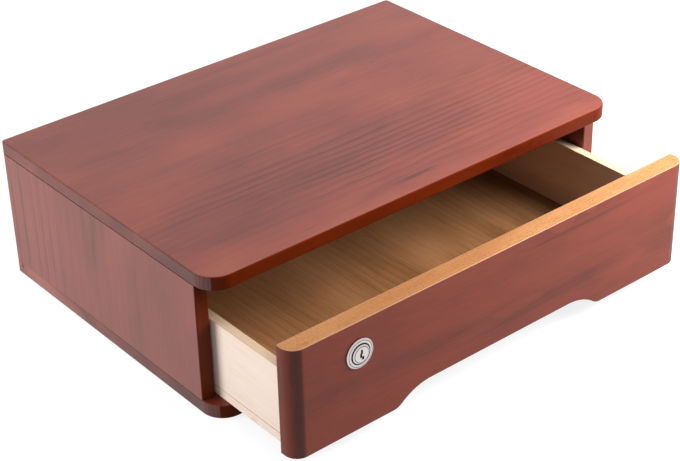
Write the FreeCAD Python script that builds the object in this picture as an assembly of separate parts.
import FreeCAD, Part
import math
import os

# A low wooden laptop stand with one locking drawer. A top board and a base board lie flat,
# two side boards stand between them and a thinner board closes the back. The drawer runs
# between the sides, straight on the base board, and is drawn part of the way out.
# Millimetres. X runs to the right along the front, Y towards the back and Z up. The origin
# is the middle of the base board's underside, which the stand rests on.

V = FreeCAD.Vector
RIGHT = V(1, 0, 0)
LEFT = V(-1, 0, 0)
FRONT = V(0, -1, 0)
BACK = V(0, 1, 0)
UP = V(0, 0, 1)
DOWN = V(0, 0, -1)

# Carcass: the fixed boards.
width = 425.0                # over the side boards, and of the top and base boards
depth = 293.0                # of the top and base boards
height = 128.0               # from the base board's underside to the top's upper face
board = 12.0                 # thickness of the top, base and side boards
front_corner_radius = 20.0   # front corners of the top and base boards, seen from above
rear_corner_radius = 3.0
board_round = 1.2            # rounding of the long arrises of the four boards
side_setback = 20.0          # side boards' front edges, behind the top's front edge
back_board = 9.0             # thickness of the board that closes the back
back_recess = 2.0            # back board's rear face, in from the rear edges

# Drawer front, the board that shows.
front_thickness = 17.0
front_end_inset = 5.0        # each end of the front, in from the carcass's side face
front_gap_below = 1.0        # between the base board and the front
front_gap_above = 7.0        # between the front and the underside of the top
front_end_radius = 12.0      # rounded front corners of the drawer front, seen from above
front_round = 0.8            # rounding of its top and bottom arrises
stop_gap = 0.5               # left between the shut front and the side boards' edges

# Finger cut-out in the lower edge of the front: a flat top with an ogee at each end.
cutout_half_length = 112.0   # from the middle to where the ogee leaves the lower edge
cutout_depth = 13.0
cutout_outer_radius = 12.0   # the ogee's lower, bulging curve
cutout_inner_radius = 48.0   # the ogee's upper, hollow curve

# Drawer box.
box_board = 8.0              # thickness of the box's sides, front and back
box_side_gap = 1.5           # between a box side and the side board next to it
box_height = 60.0            # of the sides, front and back, above the bottom board
box_rear_gap = 4.5           # between the shut box and the back board
bottom_board = 4.0
runner_height = 4.0          # glued strips under the bottom board, which the drawer runs on
runner_width = 14.0
runner_gap = 0.2             # between a runner strip and the base board
rest_draw = 89.5             # how far the drawer is drawn out as the part stands
full_draw = 170.0            # how far it comes out before it meets its stop

# Stop strips: one across the base board and one under the back of the drawer.
stop_height = 3.0
stop_width = 12.0
stop_touch_gap = 0.5         # left between the two strips at full draw
stop_end_gap = 6.0           # between the ends of the strips and the runner strips

# Kicker rails above the box sides, which keep the drawer from tipping when it is out.
kicker_height = 12.0
kicker_width = 11.0
kicker_gap = 1.5             # above the box side
kicker_front = 75.0          # its front end, behind the top's front edge

# Cam lock in the drawer front.
lock_from_end = 62.5         # from the left end of the front to the lock's axis
lock_from_top = 27.5         # from the top of the front down to the lock's axis
flange_radius = 12.5
flange_edge = 0.7            # height of the flange's straight edge
flange_rise = 1.7            # highest point of the flange above the wood
flange_lip_radius = 8.7      # where the flange's dome ends at the groove round the plug
flange_crown_drop = 0.25     # how far the dome has fallen half way out
groove_depth = 1.4           # of the groove below the flange's highest point
barrel_radius = 9.5
barrel_flat = 8.2            # half of the width over the barrel's two flats
barrel_gap = 0.1             # round the barrel in its hole in the wood
plug_head_radius = 8.0
plug_head_length = 5.0
plug_rise = 3.0              # plug's face above the wood
plug_chamfer = 1.0           # round the plug's face
plug_radius = 6.0
plug_gap = 0.05              # running clearance round the plug
key_slot_width = 1.5
key_slot_height = 9.9
key_slot_step = 1.4          # how far the slot's middle part is set to one side
key_depth = 20.0
nut_half_flats = 11.5
nut_thickness = 4.0
nut_gap = 0.05               # round the barrel in the nut
notch_margin = 1.2           # round the nut in the box front's notch
tail_half = 3.5              # half of the width of the plug's square tail
tail_gap = 0.1               # round the tail in the cam's hole
cam_clearance = 1.0          # between the box front's inner face and the cam
cam_seat_gap = 0.3           # between the barrel's end and the cam
cam_thickness = 2.5
cam_hub_radius = 9.0
cam_half_width = 6.0
cam_tip_radius = 3.0
cam_top_gap = 2.5            # between the raised cam's tip and the top board

# Wafers: the lock's flat brass tumblers.
wafer_count = 5
wafer_pitch = 3.0
wafer_first = 5.0            # behind the plug's face
wafer_thickness = 0.7
wafer_width = 5.8
wafer_height = 10.2
wafer_gap = 0.1
wafer_window_width = 3.2
wafer_window_height = 7.6

# Strike: the bent plate under the top board that the raised cam stops behind.
strike_width = 30.0
strike_thickness = 1.5
strike_drop = 12.0
strike_length = 18.0
strike_cam_gap = 0.8
strike_screw_spacing = 18.0
strike_bend_radius = 1.0

# Fasteners. A radius is that of the plain shank.
dowel_radius = 3.0
dowel_length = 20.0
dowel_in_top = 8.0
dowel_chamfer = 0.8
fit_gap = 0.05               # round dowels, screws and pins in their holes
carcass_screw = {"radius": 1.9, "head": 3.8, "length": 32.0}
kicker_screw = {"radius": 1.5, "head": 3.0, "length": 17.0}
front_screw = {"radius": 1.7, "head": 3.4, "length": 21.0}
strike_screw = {"radius": 1.4, "head": 2.6, "length": 9.0}
cam_screw_radius = 2.0
cam_screw_head_radius = 4.5
cam_screw_head_height = 2.4
cam_screw_head_round = 0.8
cam_screw_length = 7.0
screw_point = 4.0            # length of a wood screw's point
screw_tip_radius = 0.4
cross_width = 0.8            # of the cross recess in a screw's head
cross_depth = 1.2
cross_reach = 0.6            # its arms' length, as a share of the head's radius
pin_radius = 0.7
pin_length = 21.0
pin_head_radius = 1.1
pin_head_height = 0.6
pin_sink = 0.3               # pin heads below the wood's face
bottom_pin_length = 18.0

# Places that follow from the sizes above. "y" places are for the shut drawer.
half_width = width / 2
front_y = -depth / 2
rear_y = depth / 2
base_top = board
top_under = height - board
side_inner_x = half_width - board
side_front_y = front_y + side_setback
back_front_y = rear_y - back_recess - back_board
back_mid_y = back_front_y + back_board / 2

front_back_y = side_front_y - stop_gap
front_face_y = front_back_y - front_thickness
front_bottom_z = base_top + front_gap_below
front_top_z = top_under - front_gap_above
front_half_length = half_width - front_end_inset

box_half_width = side_inner_x - box_side_gap
box_inner_x = box_half_width - box_board
box_front_y = front_back_y
box_front_inner_y = box_front_y + box_board
box_rear_y = back_front_y - box_rear_gap
box_rear_inner_y = box_rear_y - box_board
runner_under_z = base_top + runner_gap
bottom_under_z = runner_under_z + runner_height
box_floor_z = bottom_under_z + bottom_board
box_top_z = box_floor_z + box_height

lock_x = -front_half_length + lock_from_end
lock_z = front_top_z - lock_from_top
flange_top_y = front_face_y - flange_rise
groove_y = flange_top_y + groove_depth
plug_face_y = front_face_y - plug_rise
plug_shoulder_y = plug_face_y + plug_head_length
cam_front_y = box_front_inner_y + cam_clearance
cam_rear_y = cam_front_y + cam_thickness
barrel_end_y = cam_front_y - cam_seat_gap
nut_corner_radius = nut_half_flats / math.cos(math.pi / 6)
cam_reach = top_under - lock_z - cam_top_gap
strike_rear_y = cam_front_y - strike_cam_gap
strike_front_y = strike_rear_y - strike_thickness


def box(x0, x1, y0, y1, z0, z1):
    """A block between two corners."""
    return Part.makeBox(x1 - x0, y1 - y0, z1 - z0, V(x0, y0, z0))


def place(shape, at, direction):
    """Turn a shape that was made along +Z to a direction, and move its start to a place."""
    turned = shape.copy()
    turned.Placement = FreeCAD.Placement(at, FreeCAD.Rotation(UP, direction))
    return turned


def group(shapes):
    """Several separate solids that share one node."""
    return Part.makeCompound(shapes)


def cut_all(shape, tools):
    """Take a list of holes out of a shape."""
    if tools:
        return shape.cut(tools).removeSplitter()
    return shape


def prism(outline, direction):
    """A solid from a closed list of edges, pushed along a vector."""
    return Part.Face(Part.Wire(outline)).extrude(direction)


def level_edges(shape, z_levels):
    """The edges that lie flat at one of the given heights."""
    found = []
    for edge in shape.Edges:
        bounds = edge.BoundBox
        if bounds.ZLength < 1e-6 and any(abs(bounds.ZMin - z) < 1e-6 for z in z_levels):
            found.append(edge)
    return found


def upright_edges(shape, x_places, y_places):
    """The upright edges at one of the given X places and one of the given Y places."""
    found = []
    for edge in shape.Edges:
        bounds = edge.BoundBox
        upright = bounds.XLength < 1e-6 and bounds.YLength < 1e-6
        at_x = any(abs(bounds.XMin - x) < 1e-6 for x in x_places)
        at_y = any(abs(bounds.YMin - y) < 1e-6 for y in y_places)
        if upright and at_x and at_y:
            found.append(edge)
    return found


def cross_recess(head_radius):
    """The two crossed bars that a screwdriver's tip fills, down from a head's face."""
    reach = head_radius * cross_reach
    half = cross_width / 2
    return [box(-reach, reach, -half, half, 0, cross_depth),
            box(-half, half, -reach, reach, 0, cross_depth)]


def wood_screw(size, gap=0.0):
    """A countersunk wood screw along +Z with its head's face at zero. A gap makes its hole."""
    radius = size["radius"] + gap
    head = size["head"] + gap
    head_height = size["head"] - size["radius"]
    length = size["length"] + gap
    cone = Part.makeCone(head, radius, head_height)
    shank = Part.makeCylinder(radius, length - screw_point - head_height, V(0, 0, head_height))
    point = Part.makeCone(radius, screw_tip_radius, screw_point,
                          V(0, 0, length - screw_point))
    screw = cone.fuse([shank, point]).removeSplitter()
    if gap:
        return screw
    return screw.cut(cross_recess(size["head"]))


def pin(length, gap=0.0):
    """A panel pin along +Z with its head's face at zero. A gap makes its hole."""
    shank = Part.makeCylinder(pin_radius + gap, length + gap)
    head = Part.makeCylinder(pin_head_radius + gap, pin_head_height)
    return shank.fuse(head).removeSplitter()


def pin_hole(length):
    """The hole that a sunk pin leaves, from the wood's face."""
    sink = Part.makeCylinder(pin_head_radius + fit_gap, pin_sink, V(0, 0, -pin_sink))
    return pin(length, fit_gap).fuse(sink).removeSplitter()


def dowel(gap=0.0):
    """A dowel along +Z, its end chamfered. A gap makes its hole."""
    rod = Part.makeCylinder(dowel_radius + gap, dowel_length + 2 * gap, V(0, 0, -gap))
    if gap:
        return rod
    return rod.makeChamfer(dowel_chamfer, level_edges(rod, [0, dowel_length]))


def spaced(start, end, count):
    """Even places from start to end."""
    return [start + (end - start) * step / (count - 1) for step in range(count)]


# --- Where the fasteners of the carcass go ---------------------------------------------

side_joint_margin = 30.0
side_joint_ys = spaced(side_front_y + side_joint_margin, back_front_y - side_joint_margin, 3)
side_mid_x = half_width - board / 2
back_joint_xs = spaced(-side_inner_x / 2, side_inner_x / 2, 2)
joint_places = [(sign * side_mid_x, y) for sign in (-1, 1) for y in side_joint_ys]
joint_places += [(x, back_mid_y) for x in back_joint_xs]

dowel_start_z = top_under + dowel_in_top - dowel_length
dowel_spots = [V(x, y, dowel_start_z) for x, y in joint_places]
carcass_screw_spots = [V(x, y, 0) for x, y in joint_places]

kicker_bottom_z = box_top_z + kicker_gap
kicker_mid_z = kicker_bottom_z + kicker_height / 2
kicker_start_y = front_y + kicker_front
kicker_screw_margin = 25.0
kicker_screw_ys = spaced(kicker_start_y + kicker_screw_margin,
                         back_front_y - kicker_screw_margin, 2)

strike_screw_y = strike_rear_y + strike_length / 2
strike_screw_xs = spaced(lock_x - strike_screw_spacing / 2, lock_x + strike_screw_spacing / 2, 2)


def kicker_screws(sign, gap=0.0):
    """The two screws through one kicker rail into its side board."""
    x = sign * (side_inner_x - kicker_width)
    towards = RIGHT if sign > 0 else LEFT
    return [place(wood_screw(kicker_screw, gap), V(x, y, kicker_mid_z), towards)
            for y in kicker_screw_ys]


def strike_screws(gap=0.0):
    """The two screws that hold the strike up to the top board."""
    z = top_under - strike_thickness
    return [place(wood_screw(strike_screw, gap), V(x, strike_screw_y, z), UP)
            for x in strike_screw_xs]


def carcass_screws(gap=0.0):
    """Screws up through the base board into the sides and the back."""
    return [place(wood_screw(carcass_screw, gap), spot, UP) for spot in carcass_screw_spots]


def carcass_dowels(gap=0.0):
    """Dowels between the top board and the sides and back."""
    return [place(dowel(gap), spot, UP) for spot in dowel_spots]


# --- Carcass ---------------------------------------------------------------------------

def flat_board(z0, z1):
    """A top or base board: well rounded front corners, eased rear corners and arrises."""
    slab = box(-half_width, half_width, front_y, rear_y, z0, z1)
    front_edges = upright_edges(slab, [-half_width, half_width], [front_y])
    slab = slab.makeFillet(front_corner_radius, front_edges)
    rear_edges = upright_edges(slab, [-half_width, half_width], [rear_y])
    slab = slab.makeFillet(rear_corner_radius, rear_edges)
    return slab.makeFillet(board_round, level_edges(slab, [z0, z1]))


def top_panel():
    """The board that the laptop stands on."""
    return cut_all(flat_board(top_under, height), carcass_dowels(fit_gap) + strike_screws(fit_gap))


def base_panel():
    """The board that the drawer slides on."""
    return cut_all(flat_board(0, base_top), carcass_screws(fit_gap))


def side_panel(sign):
    """An upright side board, set back from the front edge of the top."""
    x0, x1 = sorted((sign * side_inner_x, sign * half_width))
    panel = box(x0, x1, side_front_y, rear_y, base_top, top_under)
    panel = panel.makeFillet(board_round, upright_edges(panel, [x0, x1], [side_front_y]))
    outer_rear = upright_edges(panel, [sign * half_width], [rear_y])
    panel = panel.makeFillet(rear_corner_radius, outer_rear)
    holes = carcass_dowels(fit_gap) + carcass_screws(fit_gap) + kicker_screws(sign, fit_gap)
    return cut_all(panel, holes)


def back_panel():
    """The board that closes the back between the sides."""
    panel = box(-side_inner_x, side_inner_x, back_front_y, rear_y - back_recess,
                base_top, top_under)
    return cut_all(panel, carcass_dowels(fit_gap) + carcass_screws(fit_gap))


def kicker(sign):
    """A rail screwed to a side board just above the box side."""
    x0, x1 = sorted((sign * (side_inner_x - kicker_width), sign * side_inner_x))
    rail = box(x0, x1, kicker_start_y, back_front_y,
               kicker_bottom_z, kicker_bottom_z + kicker_height)
    return cut_all(rail, kicker_screws(sign, fit_gap))


stop_half_length = box_half_width - runner_width - stop_end_gap
drawer_stop_front_y = box_rear_y - stop_width
base_stop_rear_y = drawer_stop_front_y - full_draw - stop_touch_gap


def base_stop_strip():
    """A strip glued across the base board, which stops the drawn-out drawer."""
    return box(-stop_half_length, stop_half_length, base_stop_rear_y - stop_width,
               base_stop_rear_y, base_top, base_top + stop_height)


def strike_plate():
    """A bent steel plate: one leg screwed under the top, one hanging in front of the cam."""
    x0 = lock_x - strike_width / 2
    x1 = lock_x + strike_width / 2
    upper = box(x0, x1, strike_front_y, strike_rear_y + strike_length,
                top_under - strike_thickness, top_under)
    hanging = box(x0, x1, strike_front_y, strike_rear_y, top_under - strike_drop, top_under)
    plate = upper.fuse(hanging).removeSplitter()
    bend = [edge for edge in level_edges(plate, [top_under])
            if edge.BoundBox.XLength > strike_width / 2
            and abs(edge.BoundBox.YMin - strike_front_y) < 1e-6]
    plate = plate.makeFillet(strike_bend_radius, bend)
    return cut_all(plate, strike_screws(fit_gap))


# --- Where the fasteners of the drawer go ----------------------------------------------

corner_pin_margin = 15.0
corner_pin_zs = spaced(box_floor_z + corner_pin_margin, box_top_z - corner_pin_margin, 2)
box_side_mid_x = box_half_width - box_board / 2
box_back_mid_y = box_rear_y - box_board / 2
runner_pin_margin = 35.0
runner_pin_ys = spaced(box_front_inner_y + runner_pin_margin,
                       box_rear_inner_y - runner_pin_margin, 3)
end_pin_xs = spaced(-box_inner_x / 2, box_inner_x / 2, 3)
front_screw_margin = 14.0
front_screw_zs = spaced(box_floor_z + front_screw_margin, box_top_z - front_screw_margin, 2)
front_screw_xs = (-box_inner_x / 3, box_inner_x / 3)


def front_screws(gap=0.0):
    """Screws from inside the box into the back of the drawer front."""
    return [place(wood_screw(front_screw, gap), V(x, box_front_inner_y, z), FRONT)
            for x in front_screw_xs for z in front_screw_zs]


def corner_pins(make):
    """Pins through the box front into the sides, and through the sides into the back."""
    pins = []
    for sign in (-1, 1):
        inwards = LEFT if sign > 0 else RIGHT
        for z in corner_pin_zs:
            at_front = V(sign * box_side_mid_x, box_front_y + pin_sink, z)
            at_back = V(sign * (box_half_width - pin_sink), box_back_mid_y, z)
            pins.append(place(make(pin_length), at_front, BACK))
            pins.append(place(make(pin_length), at_back, inwards))
    return pins


def bottom_pins(make):
    """Pins up through the runner strips and the bottom board into the box."""
    pins = []
    for y in runner_pin_ys:
        for sign in (-1, 1):
            at = V(sign * box_side_mid_x, y, runner_under_z + pin_sink)
            pins.append(place(make(bottom_pin_length), at, UP))
    for x in end_pin_xs:
        for y in (box_front_y + box_board / 2, box_back_mid_y):
            at = V(x, y, bottom_under_z + pin_sink)
            pins.append(place(make(bottom_pin_length), at, UP))
    return pins


# --- Drawer ----------------------------------------------------------------------------

def front_outline():
    """The drawer front seen from the front: a long board with the finger cut-out below."""
    both_radii = cutout_outer_radius + cutout_inner_radius
    turn = math.acos(1 - cutout_depth / both_radii)
    run = both_radii * math.sin(turn)
    ceiling_z = front_bottom_z + cutout_depth

    def lower_curve(angle):
        x = -cutout_half_length + cutout_outer_radius * math.sin(angle)
        z = front_bottom_z + cutout_outer_radius * (1 - math.cos(angle))
        return V(x, 0, z)

    def upper_curve(angle):
        x = -cutout_half_length + run - cutout_inner_radius * math.sin(angle)
        z = ceiling_z - cutout_inner_radius * (1 - math.cos(angle))
        return V(x, 0, z)

    def mirrored(point):
        return V(-point.x, point.y, point.z)

    left = [lower_curve(0), lower_curve(turn / 2), lower_curve(turn),
            upper_curve(turn / 2), upper_curve(0)]
    right = [mirrored(point) for point in left]
    low_left = V(-front_half_length, 0, front_bottom_z)
    high_left = V(-front_half_length, 0, front_top_z)
    return [Part.LineSegment(low_left, left[0]).toShape(),
            Part.Arc(left[0], left[1], left[2]).toShape(),
            Part.Arc(left[2], left[3], left[4]).toShape(),
            Part.LineSegment(left[4], right[4]).toShape(),
            Part.Arc(right[4], right[3], right[2]).toShape(),
            Part.Arc(right[2], right[1], right[0]).toShape(),
            Part.LineSegment(right[0], mirrored(low_left)).toShape(),
            Part.LineSegment(mirrored(low_left), mirrored(high_left)).toShape(),
            Part.LineSegment(mirrored(high_left), high_left).toShape(),
            Part.LineSegment(high_left, low_left).toShape()]


def lock_hole():
    """The hole with two flats that keeps the lock from turning in the wood."""
    round_hole = Part.makeCylinder(barrel_radius + barrel_gap, front_thickness,
                                   V(lock_x, front_face_y, lock_z), BACK)
    half = barrel_flat + barrel_gap
    flats = box(lock_x - half, lock_x + half, front_face_y, front_back_y,
                lock_z - barrel_radius * 2, lock_z + barrel_radius * 2)
    return round_hole.common(flats)


def drawer_front():
    """The front board, with rounded ends, a finger cut-out and the hole for the lock."""
    slab = prism(front_outline(), V(0, front_thickness, 0))
    slab.translate(V(0, front_face_y, 0))
    ends = upright_edges(slab, [-front_half_length, front_half_length], [front_face_y])
    slab = slab.makeFillet(front_end_radius, ends)
    slab = slab.makeFillet(front_round, level_edges(slab, [front_top_z]))
    return cut_all(slab, [lock_hole()] + front_screws(fit_gap))


def lock_notch():
    """Room for the lock's barrel and nut in the top of the box front."""
    radius = nut_corner_radius + notch_margin
    round_end = Part.makeCylinder(radius, box_board, V(lock_x, box_front_y, lock_z), BACK)
    upper = box(lock_x - radius, lock_x + radius, box_front_y, box_front_inner_y,
                lock_z, max(box_top_z, lock_z) + radius)
    return round_end.fuse(upper)


def drawer_box_front():
    """The box's own front board, which covers the ends of the sides."""
    panel = box(-box_half_width, box_half_width, box_front_y, box_front_inner_y,
                box_floor_z, box_top_z)
    holes = front_screws(fit_gap) + corner_pins(pin_hole) + bottom_pins(pin_hole)
    return cut_all(panel, [lock_notch()] + holes)


def drawer_side(sign):
    """A side of the box, from its front board to its rear end."""
    x0, x1 = sorted((sign * box_inner_x, sign * box_half_width))
    panel = box(x0, x1, box_front_inner_y, box_rear_y, box_floor_z, box_top_z)
    return cut_all(panel, corner_pins(pin_hole) + bottom_pins(pin_hole))


def drawer_back():
    """The back of the box, between its sides."""
    panel = box(-box_inner_x, box_inner_x, box_rear_inner_y, box_rear_y,
                box_floor_z, box_top_z)
    return cut_all(panel, corner_pins(pin_hole) + bottom_pins(pin_hole))


def drawer_bottom():
    """The bottom board, pinned under the box so that its edge shows."""
    panel = box(-box_half_width, box_half_width, box_front_y, box_rear_y,
                bottom_under_z, box_floor_z)
    return cut_all(panel, bottom_pins(pin_hole))


def runner_strip(sign):
    """A strip under the edge of the bottom board, which slides on the base board."""
    x0, x1 = sorted((sign * (box_half_width - runner_width), sign * box_half_width))
    strip = box(x0, x1, box_front_y, box_rear_y, runner_under_z, bottom_under_z)
    return cut_all(strip, bottom_pins(pin_hole))


def drawer_stop_strip():
    """A strip glued under the back of the drawer, which meets the base's strip."""
    return box(-stop_half_length, stop_half_length, drawer_stop_front_y, box_rear_y,
               bottom_under_z - stop_height, bottom_under_z)


# --- Lock ------------------------------------------------------------------------------

def turned(profile):
    """A solid of revolution about the lock's axis, from edges in the plane X = lock_x."""
    face = Part.Face(Part.Wire(profile))
    return face.revolve(V(lock_x, 0, lock_z), BACK, 360)


def rims_at(shape, y):
    """The round edges that lie across the lock's axis at one place along it."""
    return [edge for edge in shape.Edges
            if edge.BoundBox.YLength < 1e-6 and abs(edge.BoundBox.YMin - y) < 1e-6]


def lock_body():
    """The die-cast housing: a domed flange on a threaded barrel with two flats."""
    def at(radius, y):
        return V(lock_x, y, lock_z + radius)

    edge_y = front_face_y - flange_edge
    dome_mid = at((flange_radius + flange_lip_radius) / 2, flange_top_y + flange_crown_drop)
    bore = plug_radius + plug_gap
    head_bore = plug_head_radius + plug_gap
    points = [at(flange_lip_radius, flange_top_y), at(flange_lip_radius, groove_y),
              at(head_bore, groove_y), at(head_bore, plug_shoulder_y), at(bore, plug_shoulder_y),
              at(bore, barrel_end_y), at(barrel_radius, barrel_end_y),
              at(barrel_radius, front_face_y), at(flange_radius, front_face_y),
              at(flange_radius, edge_y)]
    profile = [Part.LineSegment(a, b).toShape() for a, b in zip(points, points[1:])]
    profile.append(Part.Arc(points[-1], dome_mid, points[0]).toShape())
    housing = turned(profile)
    flats = []
    for sign in (-1, 1):
        x0, x1 = sorted((lock_x + sign * barrel_flat, lock_x + sign * barrel_radius * 2))
        flats.append(box(x0, x1, front_face_y, barrel_end_y,
                         lock_z - barrel_radius, lock_z + barrel_radius))
    return housing.cut(flats).removeSplitter()


def lock_nut():
    """The hexagon nut that holds the lock against the back of the front."""
    corners = [V(lock_x + nut_corner_radius * math.cos(math.pi / 3 * step), front_back_y,
                 lock_z + nut_corner_radius * math.sin(math.pi / 3 * step)) for step in range(7)]
    hexagon = Part.Face(Part.makePolygon(corners)).extrude(V(0, nut_thickness, 0))
    hole = Part.makeCylinder(barrel_radius + nut_gap, nut_thickness,
                             V(lock_x, front_back_y, lock_z), BACK)
    return hexagon.cut(hole)


def key_slot():
    """The stepped slot for the key, from the plug's face."""
    third = key_slot_height / 3
    overlap = key_slot_width / 2
    half = key_slot_width / 2
    bars = []
    for index, shift in enumerate((key_slot_step / 2, -key_slot_step / 2, 0)):
        low = lock_z - key_slot_height / 2 + third * index
        bars.append(box(lock_x + shift - half, lock_x + shift + half, plug_face_y,
                        plug_face_y + key_depth, low - (overlap if index else 0), low + third))
    return bars[0].fuse(bars[1:]).removeSplitter()


def wafer_slots(gap):
    """The wafers' outer blocks, or their slots in the plug when there is a gap."""
    half_w = wafer_width / 2 + gap
    half_h = wafer_height / 2 + gap
    blocks = []
    for index in range(wafer_count):
        y = plug_face_y + wafer_first + wafer_pitch * index
        blocks.append(box(lock_x - half_w, lock_x + half_w, y - gap, y + wafer_thickness + gap,
                          lock_z - half_h, lock_z + half_h))
    return blocks


def lock_plug():
    """The turning core with its key slot, wafer slots and square tail."""
    def at(radius, y):
        return V(lock_x, y, lock_z + radius)

    points = [at(0, plug_face_y), at(plug_head_radius, plug_face_y),
              at(plug_head_radius, plug_shoulder_y - plug_gap),
              at(plug_radius, plug_shoulder_y - plug_gap),
              at(plug_radius, barrel_end_y), at(0, barrel_end_y), at(0, plug_face_y)]
    core = turned([Part.LineSegment(a, b).toShape() for a, b in zip(points, points[1:])])
    core = core.makeChamfer(plug_chamfer, rims_at(core, plug_face_y))
    tail = box(lock_x - tail_half, lock_x + tail_half, barrel_end_y, cam_rear_y,
               lock_z - tail_half, lock_z + tail_half)
    screw_bore = Part.makeCylinder(cam_screw_radius + fit_gap, cam_screw_length,
                                   V(lock_x, cam_rear_y, lock_z), FRONT)
    core = core.fuse(tail)
    return cut_all(core, [key_slot(), screw_bore] + wafer_slots(wafer_gap))


def lock_wafers():
    """Five brass wafers with a window for the key, inside the plug."""
    half_w = wafer_window_width / 2
    half_h = wafer_window_height / 2
    window = box(lock_x - half_w, lock_x + half_w, plug_face_y, barrel_end_y,
                 lock_z - half_h, lock_z + half_h)
    return group([block.cut(window) for block in wafer_slots(0)])


def lock_cam():
    """The arm on the plug's tail. It lies to the right unlocked and turns up to lock."""
    hub = Part.makeCylinder(cam_hub_radius, cam_thickness, V(lock_x, cam_front_y, lock_z), BACK)
    arm = box(lock_x, lock_x + cam_reach, cam_front_y, cam_rear_y,
              lock_z - cam_half_width, lock_z + cam_half_width)
    tips = [edge for edge in arm.Edges
            if edge.BoundBox.YLength > cam_thickness / 2
            and abs(edge.BoundBox.XMin - lock_x - cam_reach) < 1e-6]
    arm = arm.makeFillet(cam_tip_radius, tips)
    half = tail_half + tail_gap
    square = box(lock_x - half, lock_x + half, cam_front_y, cam_rear_y,
                 lock_z - half, lock_z + half)
    return hub.fuse(arm).cut(square).removeSplitter()


def cam_screw():
    """The screw that holds the cam on the plug's tail."""
    head = Part.makeCylinder(cam_screw_head_radius, cam_screw_head_height)
    head = head.makeFillet(cam_screw_head_round, level_edges(head, [0]))
    shank = Part.makeCylinder(cam_screw_radius, cam_screw_length, V(0, 0, cam_screw_head_height))
    screw = head.fuse(shank).removeSplitter().cut(cross_recess(cam_screw_head_radius))
    return place(screw, V(lock_x, cam_rear_y + cam_screw_head_height, lock_z), FRONT)


carcass = {
    "top_panel": top_panel(),
    "base_panel": base_panel(),
    "left_side_panel": side_panel(-1),
    "right_side_panel": side_panel(1),
    "back_panel": back_panel(),
    "left_kicker_rail": kicker(-1),
    "right_kicker_rail": kicker(1),
    "base_stop_strip": base_stop_strip(),
    "strike_plate": strike_plate(),
    "carcass_dowels": group(carcass_dowels()),
    "carcass_screws": group(carcass_screws()),
    "kicker_screws": group(kicker_screws(-1) + kicker_screws(1)),
    "strike_screws": group(strike_screws()),
}

drawer = {
    "drawer_front": drawer_front(),
    "drawer_box_front": drawer_box_front(),
    "drawer_left_side": drawer_side(-1),
    "drawer_right_side": drawer_side(1),
    "drawer_back": drawer_back(),
    "drawer_bottom": drawer_bottom(),
    "left_runner_strip": runner_strip(-1),
    "right_runner_strip": runner_strip(1),
    "drawer_stop_strip": drawer_stop_strip(),
    "front_screws": group(front_screws()),
    "corner_pins": group(corner_pins(pin)),
    "bottom_pins": group(bottom_pins(pin)),
    "lock_body": lock_body(),
    "lock_nut": lock_nut(),
    "lock_plug": lock_plug(),
    "lock_wafers": lock_wafers(),
    "lock_cam": lock_cam(),
    "lock_cam_screw": cam_screw(),
}
for shape in drawer.values():
    shape.translate(V(0, -rest_draw, 0))

os.makedirs("parts", exist_ok=True)
for name, shape in {**carcass, **drawer}.items():
    shape.exportStep("parts/" + name + ".step")
